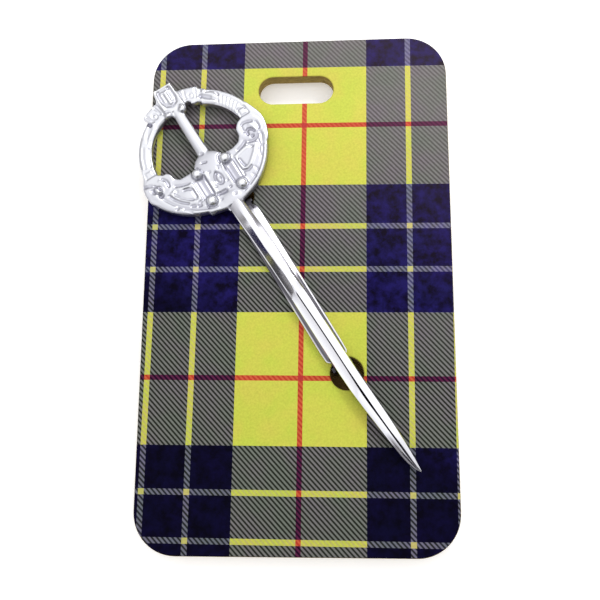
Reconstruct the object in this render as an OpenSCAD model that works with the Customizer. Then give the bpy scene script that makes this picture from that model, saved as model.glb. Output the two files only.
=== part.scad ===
// Kilt pin on its display card, lying on its back.
// X runs to the card's right, Y up the card, Z out of its printed face.
// The origin lies under the middle of the whole thing, on the surface that it rests on.

/* [Card] */
// Width of the card
card_w = 60; // [56:0.5:66]
// Height of the card
card_h = 102.5; // [98:0.5:115]
// Thickness of the hardboard
card_t = 3.2; // [2.6:0.1:3.6]
// Radius of the card's corners
corner_r = 8; // [4:0.5:10]
// Length of the hang slot
slot_l = 15.2; // [12:0.2:17]
// Width of the hang slot
slot_w = 5.9; // [5:0.1:6.5]
// Place of the slot's centre across the card, from its middle line
slot_x = -0.4; // [-1:0.1:1]
// Height of the slot's centre over the card's middle
slot_y = 40.3; // [39:0.1:42]
// Diameter of the two holes for the fitting
hole_d = 6.35; // [6.2:0.05:7]

/* [Back bar] */
// Width of the bar
bar_w = 4.85; // [4.4:0.05:5.2]
// Length of the bar on the card's face
bar_l = 35.2; // [34:0.1:35.2]
// Thickness of the bar's steel
bar_t = 0.9; // [0.7:0.05:1]
// Direction of the bar from the card's X axis, towards the tip
bar_angle = -58.8; // [-60:0.1:-57]
// Height of the card's back over the surface, which the catch and the hinge take up
back_gap = 2.1; // [2:0.1:2.4]

/* [Needle] */
// Diameter of the needle's wire
needle_d = 1.2; // [1:0.1:1.2]
// Diameter of the hinge's rivet
rivet_d = 0.9; // [0.7:0.1:0.9]

/* [Head] */
// Turn of the pin from the card's Y axis
pin_turn = 32; // [30:0.5:34]
// Outer radius of the head's lower half
head_r = 13.6; // [13.4:0.1:14]
// Outer radius of the upper band
band_r = 12.6; // [12.4:0.1:12.9]
// Inner radius of the upper band
open_r = 9.8; // [9.6:0.1:9.9]
// Thickness of the casting under its relief
plate_t = 1.7; // [1.4:0.1:2]
// Height of the relief
relief_h = 0.55; // [0.4:0.05:0.7]
// Radius of the four balls
ball_r = 1.15; // [1:0.05:1.2]

/* [Blade] */
// Distance from the head's centre to the tip
tip_y = 75.1; // [73:0.1:76]
// Greatest width of the blade
blade_w = 3.2; // [3:0.1:3.4]
// Height of the blade's crown
blade_h = 2.1; // [1.8:0.1:2.3]

/* [Hidden] */
$fn = 64;

// Small distances that keep the pieces clear of each other, and overlaps inside one piece
seat = 0.05;
eps = 0.1;

// The pin's head goes past the card's left edge, so the middle of the whole lies left of the card's middle
pin_x = -18.975;
pin_y = 26.39;
// Centre of the head's circles over the origin of the pin's own frame
head_y = 0.3;
head_left = pin_x - head_y * sin(pin_turn) - band_r;
card_x = -(card_w / 2 + head_left) / 2;

card_z = back_gap;
bar_z = card_z + card_t + seat;
front_z = bar_z + bar_t + seat;

// Middle of the bar on the card, and the holes at both of its ends
bar_x = -1.085;
bar_y = -0.167;
tongue_w = 3.2;
tab_w = 4.2;
hole_off = bar_l / 2 + 3.05;
tab_off = bar_l / 2 + 1.75;

// Puts a shape drawn in the pin's own frame, +Y towards the head's top, on the card's face
module on_pin() {
    translate([card_x + pin_x, pin_y, front_z]) rotate([0, 0, pin_turn]) children();
}

// Puts a shape drawn along the bar, +Y towards the hinge, on the card
module on_bar(z) {
    translate([card_x + bar_x, bar_y, z]) rotate([0, 0, bar_angle + 90]) children();
}

module both_sides() {
    children();
    mirror([1, 0, 0]) children();
}

module round_rect(w, h, r) {
    union() {
        square([w - 2 * r, h], center = true);
        square([w, h - 2 * r], center = true);
        for (x = [-1, 1], y = [-1, 1])
            translate([x * (w / 2 - r), y * (h / 2 - r)]) circle(r);
    }
}

// Card

module card() {
    color("khaki") translate([card_x, 0, card_z]) difference() {
        linear_extrude(card_t) round_rect(card_w, card_h, corner_r);
        translate([slot_x, slot_y, -1]) linear_extrude(card_t + 2) slot_outline();
        for (side = [-1, 1]) card_hole(side * hole_off);
    }
}

module slot_outline() {
    union() {
        square([slot_l - slot_w, slot_w], center = true);
        for (x = [-1, 1]) translate([x * (slot_l - slot_w) / 2, 0]) circle(slot_w / 2);
    }
}

module card_hole(along) {
    translate([bar_x, bar_y, -1]) rotate([0, 0, bar_angle + 90])
        translate([0, along, 0]) cylinder(d = hole_d, h = card_t + 2);
}

// Back bar with hinge and catch

needle_z = 1.35;
slit_h = needle_d + 0.3;
ear_t = 0.7;
ear_gap = needle_d + 0.5;
eye_off = hole_off + 0.2;

module back_bar() {
    color("silver") {
        on_bar(bar_z) union() {
            linear_extrude(bar_t) union() {
                round_rect(bar_w, bar_l, 1.2);
                square([tongue_w, 2 * tab_off], center = true);
            }
        }
        on_bar(0) {
            hinge_tab();
            catch_tab();
        }
    }
}

// The bent end at the upper hole, with two ears and the rivet between them
module hinge_tab() {
    top = bar_z + bar_t;
    tab_y = tab_off - bar_t;
    ear_end = eye_off + rivet_d / 2 + 0.45;
    translate([-tab_w / 2, tab_y, card_z]) cube([tab_w, bar_t, top - card_z]);
    for (x = [-1, 1])
        translate([x * (ear_gap + ear_t) / 2 - ear_t / 2, tab_y, 0]) cube([ear_t, ear_end - tab_y, card_z + 1.4]);
    translate([0, eye_off, needle_z]) rotate([0, 90, 0])
        cylinder(d = rivet_d, h = ear_gap + 2 * ear_t - 0.1, center = true);
}

// The bent end at the lower hole, with the slit that the needle lies in
module catch_tab() {
    top = bar_z + bar_t;
    translate([0, -tab_off, 0]) difference() {
        translate([-tab_w / 2, 0, 0]) cube([tab_w, bar_t, top]);
        translate([-needle_d / 2 - 0.15, -1, needle_z - slit_h / 2])
            cube([tab_w, bar_t + 2, slit_h]);
    }
}

// Needle

module needle() {
    eye_r = needle_z - 0.05;
    wire_end = -tab_off - 0.6;
    point_l = 2.2;
    color("gainsboro") on_bar(0) difference() {
        union() {
            translate([0, eye_off, needle_z]) rotate([0, 90, 0])
                cylinder(r = eye_r, h = needle_d, center = true);
            translate([0, eye_off - eye_r / 2, needle_z]) rotate([90, 0, 0])
                cylinder(d = needle_d, h = eye_off - eye_r / 2 - wire_end);
            translate([0, wire_end, needle_z]) rotate([90, 0, 0])
                cylinder(d1 = needle_d, d2 = 0.3, h = point_l);
        }
        translate([0, eye_off, needle_z]) rotate([0, 90, 0])
            cylinder(d = rivet_d + 0.2, h = 2 * needle_d, center = true);
    }
}

// Front casting, drawn with the head's centre near the origin, +Y to the top of the head

// Floor that the openings stop at, above the lower half
floor_y = -3.45;
// Terminals of the upper band: side, x, y and radius of the disc, and of the lobe in the opening
TERMINALS = [
    [-1, 11.0, -2.0, 2.7, 8.6, -2.0, 1.25],
    [1, 10.4, -1.2, 2.75, 8.7, -1.9, 1.1],
];
// The blade: distance from the head, side shift, width, height of the sides, crown, depth of the groove
BLADE = [
    [12.6, 0.00, 2.70, 0.60, 1.90, -0.10],
    [16.0, 0.15, 2.80, 0.55, 2.05, -0.10],
    [20.0, 0.45, 3.05, 0.55, 2.10, -0.10],
    [27.0, 0.80, 3.05, 0.65, 2.10, -0.05],
    [33.0, 0.93, 3.05, 0.95, 2.05, 0.00],
    [38.0, 0.95, 3.10, 1.20, 1.95, 0.20],
    [50.0, 0.92, 3.20, 1.20, 1.90, 0.25],
    [57.0, 1.15, 3.20, 1.15, 1.85, 0.30],
    [63.0, 1.50, 2.75, 1.10, 1.70, 0.30],
    [69.0, 1.88, 2.10, 0.95, 1.45, 0.25],
    [72.5, 2.10, 1.35, 0.75, 1.15, 0.15],
    [75.1, 2.40, 0.25, 0.45, 0.60, 0.02],
];

module pin_front() {
    color("gainsboro") union() {
        linear_extrude(plate_t) head_plate();
        rod();
        blade();
        translate([0, head_y, plate_t - eps]) {
            upper_band_relief();
            lower_half_relief();
        }
        top_block();
        centre_relief();
    }
}

module head_plate() {
    difference() {
        union() {
            translate([0, head_y]) {
                circle(band_r);
                sector(head_r, -180, 3);
                sector(band_r + 0.8, 62.5, 55);
            }
            intersection() {
                translate([0, head_y]) circle(head_r);
                translate([-head_r, -head_r]) square([2 * head_r, head_r + 1.5]);
            }
            polygon([[-2.6, -12.9], [-1.45, -14.0], [1.35, -14.1], [2.8, -12.9]]);
        }
        difference() {
            translate([0, head_y]) circle(open_r);
            translate([-head_r, floor_y - head_r]) square([2 * head_r, head_r]);
            translate([0, -4.5]) circle(3.2);
            translate([-1.2, -6]) square([2.4, 2 * open_r]);
            translate([0, head_y]) sector(band_r, 73, 34, open_r - 0.6);
            for (t = TERMINALS) {
                translate([t[0] * t[1], t[2]]) circle(t[3]);
                translate([t[0] * t[4], t[5]]) circle(t[6]);
            }
        }
        both_sides() translate([2.75, 9.3]) circle(0.45);
    }
}

// Part of a ring between two radii, from one angle on over a sweep, as a flat shape
module sector(r, from, sweep, inner = 0) {
    reach = 2 * r;
    steps = 6;
    rays = [for (i = [0:steps]) reach * [cos(from + sweep * i / steps), sin(from + sweep * i / steps)]];
    intersection() {
        difference() {
            circle(r);
            if (inner > 0) circle(inner);
        }
        polygon(concat([[0, 0]], rays));
    }
}

module raised(h) {
    linear_extrude(h + eps) children();
}

// Cap of a ball, wide 2 * r and high h
module dome(r, h) {
    ball = (r * r + h * h) / (2 * h);
    intersection() {
        translate([0, 0, h - ball + eps]) sphere(ball);
        cylinder(r = 2 * r, h = h + 2 * eps);
    }
}

module bead_ring(r, w) {
    rotate_extrude() translate([r, eps]) circle(w / 2, $fn = 24);
}

// Puts a shape on the band at an angle from the head's top, with +Y outwards
module on_band(angle, r) {
    rotate([0, 0, -angle]) translate([0, r, 0]) children();
}

module frame(w, h, rim) {
    difference() {
        square([w, h], center = true);
        square([w - 2 * rim, h - 2 * rim], center = true);
    }
}

module upper_band_relief() {
    both_sides() {
        // Rims along both edges of the band
        raised(0.3) sector(open_r + 0.4, 5, 62, open_r);
        raised(0.3) sector(band_r, 8, 49, band_r - 0.35);
        // Shoulder panel with its ring
        on_band(21.3, 11.4) {
            raised(relief_h) frame(2.9, 3.3, 0.4);
            bead_ring(0.65, 0.4);
        }
        // Arched panel with its hollow
        raised(0.4) difference() {
            sector(band_r - 0.15, 41, 17.5, open_r + 0.25);
            sector(band_r - 0.75, 44, 11.5, band_r - 1.75);
        }
        // Slanting bars on the side of the band
        for (angle = [52:4:73])
            on_band(angle, 11.25) rotate([0, 0, 35]) raised(0.25) square([0.4, 1.7], center = true);
        // Square panel at the band's end
        on_band(79.5, 11.35) raised(0.4) frame(1.9, 1.9, 0.4);
    }
}

// The flat shape of a side panel in the lower half, drawn in by a margin
module side_panel(margin) {
    low = -9.9 + margin;
    top = -5.7 - margin;
    intersection() {
        circle(11.6 - margin);
        polygon([
            [5 + margin, low], [12, low], [12, top + 1.6], [5 + margin, top]
        ]);
    }
}

module lower_half_relief() {
    hatch_r = 12.25;
    both_sides() {
        raised(relief_h) difference() {
            side_panel(0);
            side_panel(0.5);
        }
        // Two upright ridges between the side panel and the hollow channel
        for (x = [4.1, 4.6]) translate([x, -7.8, 0]) raised(0.3) square([0.28, 4.2], center = true);
        // Rim of the lower half, with short bars inside it
        raised(0.45) sector(head_r, -74, 69, head_r - 0.6);
        for (angle = [104:5:154])
            on_band(angle, hatch_r) rotate([0, 0, 25]) raised(0.22) square([0.35, 1.1], center = true);
    }
    for (t = TERMINALS) {
        translate([t[0] * (t[1] + 0.2), t[2] - 0.4 - head_y, 0]) {
            dome(1.25, 0.8);
            bead_ring(1.75, 0.45);
        }
        translate([t[0] * t[4], t[5] - head_y, 0]) dome(0.95, 0.5);
    }
}

module top_block() {
    high = plate_t + 0.75;
    difference() {
        linear_extrude(high)
            polygon([[-1.95, 16.1], [1.9, 16.1], [2.0, 13.5], [2.25, 10.4], [-2.3, 10.4], [-2.5, 13.3]]);
        translate([0, 0, high - 0.45]) linear_extrude(1) u_shape(1.4);
    }
    linear_extrude(high - 0.15) u_shape(0.8);
    translate([-0.3, 11.4, 0]) cube([0.6, 3.4, high + 0.15]);
}

// A flat U shape, square at the top and round at the bottom
module u_shape(r) {
    union() {
        translate([-r, 11.9]) square([2 * r, 3.4]);
        translate([0, 11.9]) circle(r);
    }
}

module centre_relief() {
    both_sides() {
        // Bosses of the collar under the block
        translate([1.45, 9.75, plate_t - 0.1]) sphere(0.95);
        // Four balls round the centre plate
        translate([3.3, -4.6, plate_t + 0.15]) sphere(ball_r);
        translate([3.35, -11.0, plate_t + 0.15]) sphere(ball_r);
    }
    translate([0, -4.4, plate_t - eps]) dome(2.9, 0.85);
    translate([0, -12.3, plate_t - eps]) dome(2.1, 0.75);
    // Centre plate with a raised edge and an oval in its middle
    translate([0, -7.45, plate_t - eps]) {
        raised(0.45) square([4.1, 4.9], center = true);
        raised(0.8) frame(4.1, 4.9, 0.4);
        raised(0.8) difference() {
            oval(1.9, 3.0);
            oval(1.2, 2.3);
        }
        translate([0, 0, 0.3]) dome(0.4, 0.5);
        for (x = [-1.25, 1.25], y = [-1.75, 1.75])
            translate([x, y, 0.35]) dome(0.32, 0.25);
    }
    // Row of small bars under the plate
    for (x = [-2:1:2]) translate([x * 0.85, -10.35, plate_t - eps]) raised(0.3) square([0.3, 0.8], center = true);
}

module oval(w, h) {
    union() {
        square([w, h - w], center = true);
        for (y = [-1, 1]) translate([0, y * (h - w) / 2]) circle(w / 2);
    }
}

// The rod across the openings, wider and lower towards the centre plate
module rod() {
    polyhedron_loft([
        for (row = [[-3.2, 1.02], [2.0, 0.98], [9.8, 0.70]])
            [for (p = [[-1, 0], [1, 0], [1, 0.5], [0.35, 1], [-0.35, 1], [-1, 0.5]])
                [p[0] * (row[1] + (p[1] == 0 ? 0.35 : 0)), row[0], p[1] * (plate_t + 0.55)]]
    ]);
}

module blade() {
    rows = [for (b = BLADE) if (b[0] < tip_y) b];
    last = BLADE[len(BLADE) - 1];
    polyhedron_loft([for (b = concat(rows, [concat([tip_y], [for (i = [1:5]) last[i]])])) blade_section(b)]);
}

function blade_section(b) =
    let (half = b[2] / 2 * blade_w / 3.2, side = b[3], top = b[4] * blade_h / 2.1, g = min(0.28, half / 3))
    let (mid = side + (top - side) * 0.8, k = 0.5 + 0.3 * side)
    [for (p = [
        [-half, 0], [-half, side], [-half * k, mid], [-g, top], [0, top - b[5]],
        [g, top], [half * k, mid], [half, side], [half, 0]
    ]) [b[1] + p[0], -b[0], p[1]]];

// A solid through sections that all have the same number of points
module polyhedron_loft(sections) {
    n = len(sections[0]);
    m = len(sections);
    walls = [for (j = [0:m - 2], i = [0:n - 1])
        let (a = j * n + i, b = j * n + (i + 1) % n, c = b + n, d = a + n)
        each [[a, b, c], [a, c, d]]];
    caps = [[for (i = [n - 1:-1:0]) i], [for (i = [0:n - 1]) (m - 1) * n + i]];
    polyhedron([for (s = sections) each s], concat(walls, caps));
}

card();
on_pin() pin_front();
back_bar();
needle();
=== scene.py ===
# %% [markdown]
# # A kilt pin on its display card
# This lesson dresses a plain solid model of a kilt pin. The pin is a chrome plated casting with a round
# pierced head and a long blade. A steel bar behind it passes through the two holes of a tartan card and
# holds the needle there. The solid model already has every size and place, so each piece here is made in
# the same frame, where it lies.

# %% Load the frame
import math

import bmesh
import bpy
import numpy as np
from mathutils import Matrix, Vector


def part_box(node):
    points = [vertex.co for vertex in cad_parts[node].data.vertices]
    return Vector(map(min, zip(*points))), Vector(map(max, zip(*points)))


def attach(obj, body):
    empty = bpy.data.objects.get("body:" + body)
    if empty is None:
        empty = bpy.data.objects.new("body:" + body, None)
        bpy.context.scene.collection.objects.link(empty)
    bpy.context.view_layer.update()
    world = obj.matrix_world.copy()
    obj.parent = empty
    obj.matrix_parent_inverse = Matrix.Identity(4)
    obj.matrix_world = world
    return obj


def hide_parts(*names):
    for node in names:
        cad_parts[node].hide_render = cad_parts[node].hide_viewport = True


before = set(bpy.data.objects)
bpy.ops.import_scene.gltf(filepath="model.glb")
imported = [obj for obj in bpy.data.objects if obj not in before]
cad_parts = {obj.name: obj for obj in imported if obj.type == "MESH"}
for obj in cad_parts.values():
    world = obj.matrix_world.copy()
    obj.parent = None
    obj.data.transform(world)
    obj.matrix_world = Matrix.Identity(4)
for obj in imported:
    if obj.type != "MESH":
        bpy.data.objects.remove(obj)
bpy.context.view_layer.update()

# %% [markdown]
# ## Sizes
# A maker thinks in millimetres, so all forms are drawn in them. The card's place and size and the heights
# of the bar and the casting are read from the solid model. The others are the values that the solid model
# was drawn from.

# %% Sizes in millimetres
def box_mm(node):
    return [[value * 1000 for value in corner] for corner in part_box(node)]


(card_left, card_bottom, CARD_Z), (card_right, card_top, card_face) = box_mm("card")
CARD_X = (card_left + card_right) / 2
CARD_W, CARD_H, CARD_T = card_right - card_left, card_top - card_bottom, card_face - CARD_Z
CORNER_R = 8.0
# The slot's centre, the length between its round ends, and their radius
SLOT_X, SLOT_Y, SLOT_SPAN, SLOT_R = -0.4, 40.3, 9.3, 2.95

# The bar runs from one hole to the other, so both holes lie on its middle line
BAR_T = 0.9
BAR_Z = box_mm("back_bar")[1][2] - BAR_T
BAR_X, BAR_Y, BAR_TURN = CARD_X - 1.085, -0.167, math.radians(31.2)
HOLE_OFF, HOLE_R = 20.65, 3.175
hole_dx, hole_dy = -HOLE_OFF * math.sin(BAR_TURN), HOLE_OFF * math.cos(BAR_TURN)
HOLES = [(BAR_X + side * hole_dx, BAR_Y + side * hole_dy) for side in (-1, 1)]

# The centre of the pin's head, the height of its back, and its turn from the card's long side
PIN_Z = box_mm("pin_front")[0][2]
PIN_X, PIN_Y, PIN_TURN = CARD_X - 18.975, 26.39, math.radians(32)
print("card, mm:", [round(v, 2) for v in (CARD_W, CARD_H, CARD_T)])
print("holes, mm:", [[round(v, 2) for v in hole] for hole in HOLES])

# %% [markdown]
# ## The camera
# The picture is square. The card's four corners give the place of the camera: 16 cm over the card, a
# little below its middle and to its right. The focal length follows from how much narrower the far end of
# the card looks.

# %% Camera
scene = bpy.context.scene
camera_data = bpy.data.cameras.new("camera")
camera_data.sensor_width = 36.0
camera_data.lens = 51.46
camera_data.clip_start = 0.01
camera = bpy.data.objects.new("camera", camera_data)
camera.location = (0.0128, -0.03992, 0.1659)
camera.rotation_euler = [math.radians(angle) for angle in (12.733, 3.937, 0.320)]
scene.collection.objects.link(camera)
scene.camera = camera
scene.view_settings.view_transform = "Standard"
scene.view_settings.look = "None"
print("camera at", [round(v, 4) for v in camera.location], "lens", camera_data.lens)

# %% [markdown]
# ## Helpers for materials
# Colours are read off a screen as sRGB hex values, but a shader works with linear light, so one function
# turns them. A second one adds a node, sets its fields and its sockets, and links what feeds it, which is
# a socket or else a node's first output. A third starts a material with its shader.

# %% Colour and node helpers
MIX_A, MIX_B, MIX_OUT = 6, 7, 2  # the colour sockets of a Mix node
NUMBER_A, NUMBER_B = 2, 3  # its number sockets


def linear(code):
    parts = [int(code[i : i + 2], 16) / 255 for i in (1, 3, 5)]
    return [c / 12.92 if c <= 0.04045 else ((c + 0.055) / 1.055) ** 2.4 for c in parts] + [1.0]


def add_node(tree, kind, settings=None, links=None, stops=()):
    node = tree.nodes.new("ShaderNode" + kind)
    for name, value in (settings or {}).items():
        if isinstance(name, str) and hasattr(node, name):
            setattr(node, name, value)
        else:
            node.inputs[name].default_value = value
    for name, source in (links or {}).items():
        socket = source.outputs[0] if hasattr(source, "outputs") else source
        tree.links.new(socket, node.inputs[name])
    for number, (position, code) in enumerate(stops):
        elements = node.color_ramp.elements
        stop = elements[number] if number < 2 else elements.new(position)
        stop.position = position
        stop.color = linear(code)
    return node


def new_material(name, settings):
    material = bpy.data.materials.new(name)
    material.use_nodes = True
    tree = material.node_tree
    tree.nodes.clear()
    shader = add_node(tree, "BsdfPrincipled", settings)
    add_node(tree, "OutputMaterial", {}, {"Surface": shader})
    return material, tree, shader


print("linear value of mid grey:", round(linear("#808080")[0], 4))

# %% [markdown]
# ## The studio
# Small bright metal is photographed in a light tent: white cloth all round, one lamp outside it and an
# opening for the camera. Chrome has no colour of its own, so what stands round it is what it looks like.
# The world is that cloth, bright overhead and greyer low down, with a soft dark patch where the
# photographer stands.

# %% World
TENT_STOPS = [(0.0, "#6E6C70"), (0.2, "#9A9896"), (0.5, "#CACACE"), (0.8, "#EEEEF0"), (1.0, "#FFFFFF")]
TENT_STRENGTH = 1.4
PHOTOGRAPHER = Vector((0.2, -0.95, 0.25)).normalized()

world = bpy.data.worlds.new("light_tent")
scene.world = world
world.use_nodes = True
tent = world.node_tree
tent.nodes.clear()
direction = add_node(tent, "TexCoord").outputs["Generated"]
height = add_node(tent, "SeparateXYZ", {}, {0: direction}).outputs[2]
cloth = add_node(tent, "ValToRGB", {}, {0: height}, TENT_STOPS)
toward = {"operation": "DOT_PRODUCT", 1: PHOTOGRAPHER}
facing = add_node(tent, "VectorMath", toward, {0: direction})
PATCH_EDGES = {"From Min": 0.80, "From Max": 0.93, "To Max": 0.9}  # cosines of its outer and inner angle
soft_patch = {"interpolation_type": "SMOOTHSTEP", **PATCH_EDGES}
patch = add_node(tent, "MapRange", soft_patch, {0: facing.outputs["Value"]})
darkened = {"data_type": "RGBA", MIX_B: linear("#14141A")}
inside = add_node(tent, "Mix", darkened, {0: patch, MIX_A: cloth})
tent_light = {"Color": inside.outputs[MIX_OUT]}
glow = add_node(tent, "Background", {"Strength": TENT_STRENGTH}, tent_light)
add_node(tent, "OutputWorld", {}, {"Surface": glow})
print("tent strength", TENT_STRENGTH)

# %% [markdown]
# The lamp stands behind the top right corner. It gives the soft shadows inside the head's openings and part
# of the sheen on the card's top right. The rest of that sheen is painted into the print. The floor is a
# white light table, as for product photographs: a matt opal sheet whose own faint glow takes the shadows
# out. Right under the card's two small holes, a painted shadow lies on it. The sheet is drawn brown and
# without its glow round those two places, so the holes look dull brown.

# %% Lamp and floor
LAMP_PLACE = Vector((0.09, 0.20, 0.24))
lamp_data = bpy.data.lights.new("lamp", "AREA")
lamp_data.size = 0.08
lamp_data.energy = 0.35
lamp = bpy.data.objects.new("lamp", lamp_data)
lamp.location = LAMP_PLACE
lamp.rotation_euler = LAMP_PLACE.to_track_quat("Z", "Y").to_euler()
scene.collection.objects.link(lamp)

TABLE_GLOW, TABLE_RADIUS = 0.3, 1.2
PAINTED_SHADOW_INSIDE, PAINTED_SHADOW_OUTSIDE = 0.0045, 0.009  # metres from the point under a hole: full painted shadow within the first, none beyond the second

floor_material, floor_tree, floor_shader = new_material(
    "opal_light_table", {"Roughness": 0.8, "Specular IOR Level": 0.2, "Emission Strength": TABLE_GLOW}
)
on_table = add_node(floor_tree, "TexCoord").outputs["Object"]
near = []
for x, y in HOLES:
    from_hole = {"operation": "DISTANCE", 1: (x / 1000, y / 1000, 0.0)}
    away = add_node(floor_tree, "VectorMath", from_hole, {0: on_table})
    near.append(away.outputs["Value"])
nearest = add_node(floor_tree, "Math", {"operation": "MINIMUM"}, dict(enumerate(near)))
painted_shadow_ring = {"From Min": PAINTED_SHADOW_INSIDE, "From Max": PAINTED_SHADOW_OUTSIDE}
clear = add_node(floor_tree, "MapRange", painted_shadow_ring, {0: nearest})
# Painted shadow: round the holes, the sheet's colour turns brown and its glow goes out
for socket, dull in (("Base Color", "#6E5A30"), ("Emission Color", "#000000")):
    opal = add_node(floor_tree, "ValToRGB", {}, {0: clear}, [(0.0, dull), (1.0, "#FAFAFA")])
    floor_tree.links.new(opal.outputs[0], floor_shader.inputs[socket])
floor_mesh = bpy.data.meshes.new("floor")
floor_form = bmesh.new()
bmesh.ops.create_circle(floor_form, cap_ends=True, segments=64, radius=TABLE_RADIUS)
floor_form.to_mesh(floor_mesh)
floor_form.free()
floor = bpy.data.objects.new("floor", floor_mesh)
floor_mesh.materials.append(floor_material)
scene.collection.objects.link(floor)
print("floor at height", round(floor.location.z, 4))

# %% [markdown]
# ## From a form to a finished piece
# Every form is drawn in millimetres. This helper closes its seams, turns its faces outwards, marks the
# sharp edges and scales the mesh to metres. The object itself stays at the origin, so patterns on Object
# coordinates stay put.

# %% Piece helper
def finish_piece(name, form, materials, sharp, matrix=None, soft=()):
    """Edges over sharp degrees stay crisp, apart from those of the materials whose numbers are in soft."""
    bmesh.ops.remove_doubles(form, verts=form.verts, dist=0.001)
    bmesh.ops.recalc_face_normals(form, faces=form.faces)
    if matrix is not None:
        bmesh.ops.transform(form, matrix=matrix, verts=form.verts)
    bmesh.ops.scale(form, vec=(0.001, 0.001, 0.001), verts=form.verts)
    for face in form.faces:
        face.smooth = True
    for edge in form.edges:
        melted = edge.link_faces[0].material_index in soft
        edge.smooth = melted or edge.calc_face_angle(0.0) < math.radians(sharp)
    mesh = bpy.data.meshes.new(name)
    form.to_mesh(mesh)
    form.free()
    for material in materials:
        mesh.materials.append(material)
    piece = bpy.data.objects.new(name, mesh)
    scene.collection.objects.link(piece)
    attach(piece, "root")
    print(name, "has", len(mesh.polygons), "faces")
    return piece


# %% [markdown]
# ## The card
# The card is 3.2 mm hardboard with a printed face, sawn with round corners, a hang slot and two holes.
# Its outlines are drawn once for each level of the edge, a little smaller where the edge is rounded, and
# bridged level by level. That keeps the rounding even round corners, slot and holes. The two faces are
# filled between the outlines.

# %% Outlines of the card
# Columns: how far the outline lies inside the card's own, and its height over the card's back
EDGE_LEVELS = [(0.3, 0.0), (0.09, 0.09), (0.0, 0.3), (0.0, CARD_T - 0.3)]
EDGE_LEVELS += [(0.06, CARD_T - 0.14), (0.2, CARD_T - 0.03), (0.32, CARD_T)]
FULL_ROUND = 0.999  # a corner that took up the whole side would leave doubled points


def rounded_loop(form, x, y, width, height, radius, z, steps=14):
    before = set(form.edges)
    corners = [(-1, -1), (1, -1), (1, 1), (-1, 1)]
    verts = [form.verts.new((x + a * width / 2, y + b * height / 2, z)) for a, b in corners]
    form.faces.new(verts)
    bmesh.ops.bevel(
        form,
        geom=verts,
        offset=radius,
        offset_type="OFFSET",
        segments=steps,
        profile=0.5,
        affect="VERTICES",
        material=-1,
    )
    edges = [edge for edge in form.edges if edge not in before]
    bmesh.ops.delete(form, geom=edges[0].link_faces[:], context="FACES_ONLY")
    return edges


def card_outlines(form, inset, z):
    width, height = CARD_W - 2 * inset, CARD_H - 2 * inset
    slot_r, hole_r = SLOT_R + inset, HOLE_R + inset
    slot_w = SLOT_SPAN + 2 * slot_r
    loops = [rounded_loop(form, CARD_X, 0, width, height, CORNER_R - inset, z)]
    loops.append(rounded_loop(form, CARD_X + SLOT_X, SLOT_Y, slot_w, 2 * slot_r, slot_r * FULL_ROUND, z))
    for x, y in HOLES:
        loops.append(rounded_loop(form, x, y, 2 * hole_r, 2 * hole_r, hole_r * FULL_ROUND, z, 10))
    return loops


card_form = bmesh.new()
levels = [card_outlines(card_form, inset, CARD_Z + z) for inset, z in EDGE_LEVELS]
for lower, upper in zip(levels, levels[1:]):
    for loop, next_loop in zip(lower, upper):
        bmesh.ops.bridge_loops(card_form, edges=loop + next_loop)
for outlines in (levels[0], levels[-1]):
    outline_edges = [edge for loop in outlines for edge in loop]
    bmesh.ops.triangle_fill(card_form, use_beauty=True, edges=outline_edges)
print("card form:", len(card_form.verts), "points,", len(card_form.faces), "faces")

# %% [markdown]
# ## The printed tartan
# A tartan is woven from one row of coloured threads, the sett, used both up and across and mirrored at
# its middle. Here each direction folds its distance back and forth over half a sett, and constant colour
# bands give the thread. Where up and across differ, a real twill shows both threads in fine slanting
# lines. The print copies that with lines about 0.7 mm apart, in duller colours than the plain squares.
# Towards the top right corner the lines run together into an even grey. To the eye it is ink on a smooth
# board: flat strong colours, with hardly any shine from the thin lacquer over them.

# %% Sett and twill
HALF_SETT = 25.6  # mm from the middle of a red line to the middle of the navy
RED_END, YELLOW_END, THIN_START, THIN_END = 0.5, 12.65, 20.65, 21.8  # mm from the middle of a red line
RED_X, RED_Y = 1.03, 32.5  # a crossing of two red lines on the card
PRINT_TURN = math.radians(0.56)
PRINT_SQUEEZE = 0.981  # the print is a little narrower across the card than up it
TWILL = (1.01, 0.98, 0.0)  # lines per mm across and up
TOP_RIGHT = (0.6, 1.0, 0.0)  # direction in which the print gets paler, by painted light


def sett(red, yellow, navy, thin):
    """The colour bands of half a sett, as stops of a colour ramp."""
    bands = ((0.0, red), (RED_END, yellow), (YELLOW_END, navy), (THIN_START, thin), (THIN_END, navy))
    return [(start / HALF_SETT, code) for start, code in bands]


# Pure red, green and blue say which kind of thread is there: the red one, a pale one or a navy one
SETT_KINDS = sett("#FF0000", "#00FF00", "#0000FF", "#00FF00")
# What each thread looks like over a pale one, over a navy one and over the red one
OVER_YELLOW = sett("#D44A35", "#E8E960", "#2F312B", "#DCD47A")
OVER_NAVY = sett("#6A2A50", "#8C8B89", "#060416", "#828190")
OVER_RED = sett("#D24242", "#EA6F48", "#2C0C2A", "#EA6F48")

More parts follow.
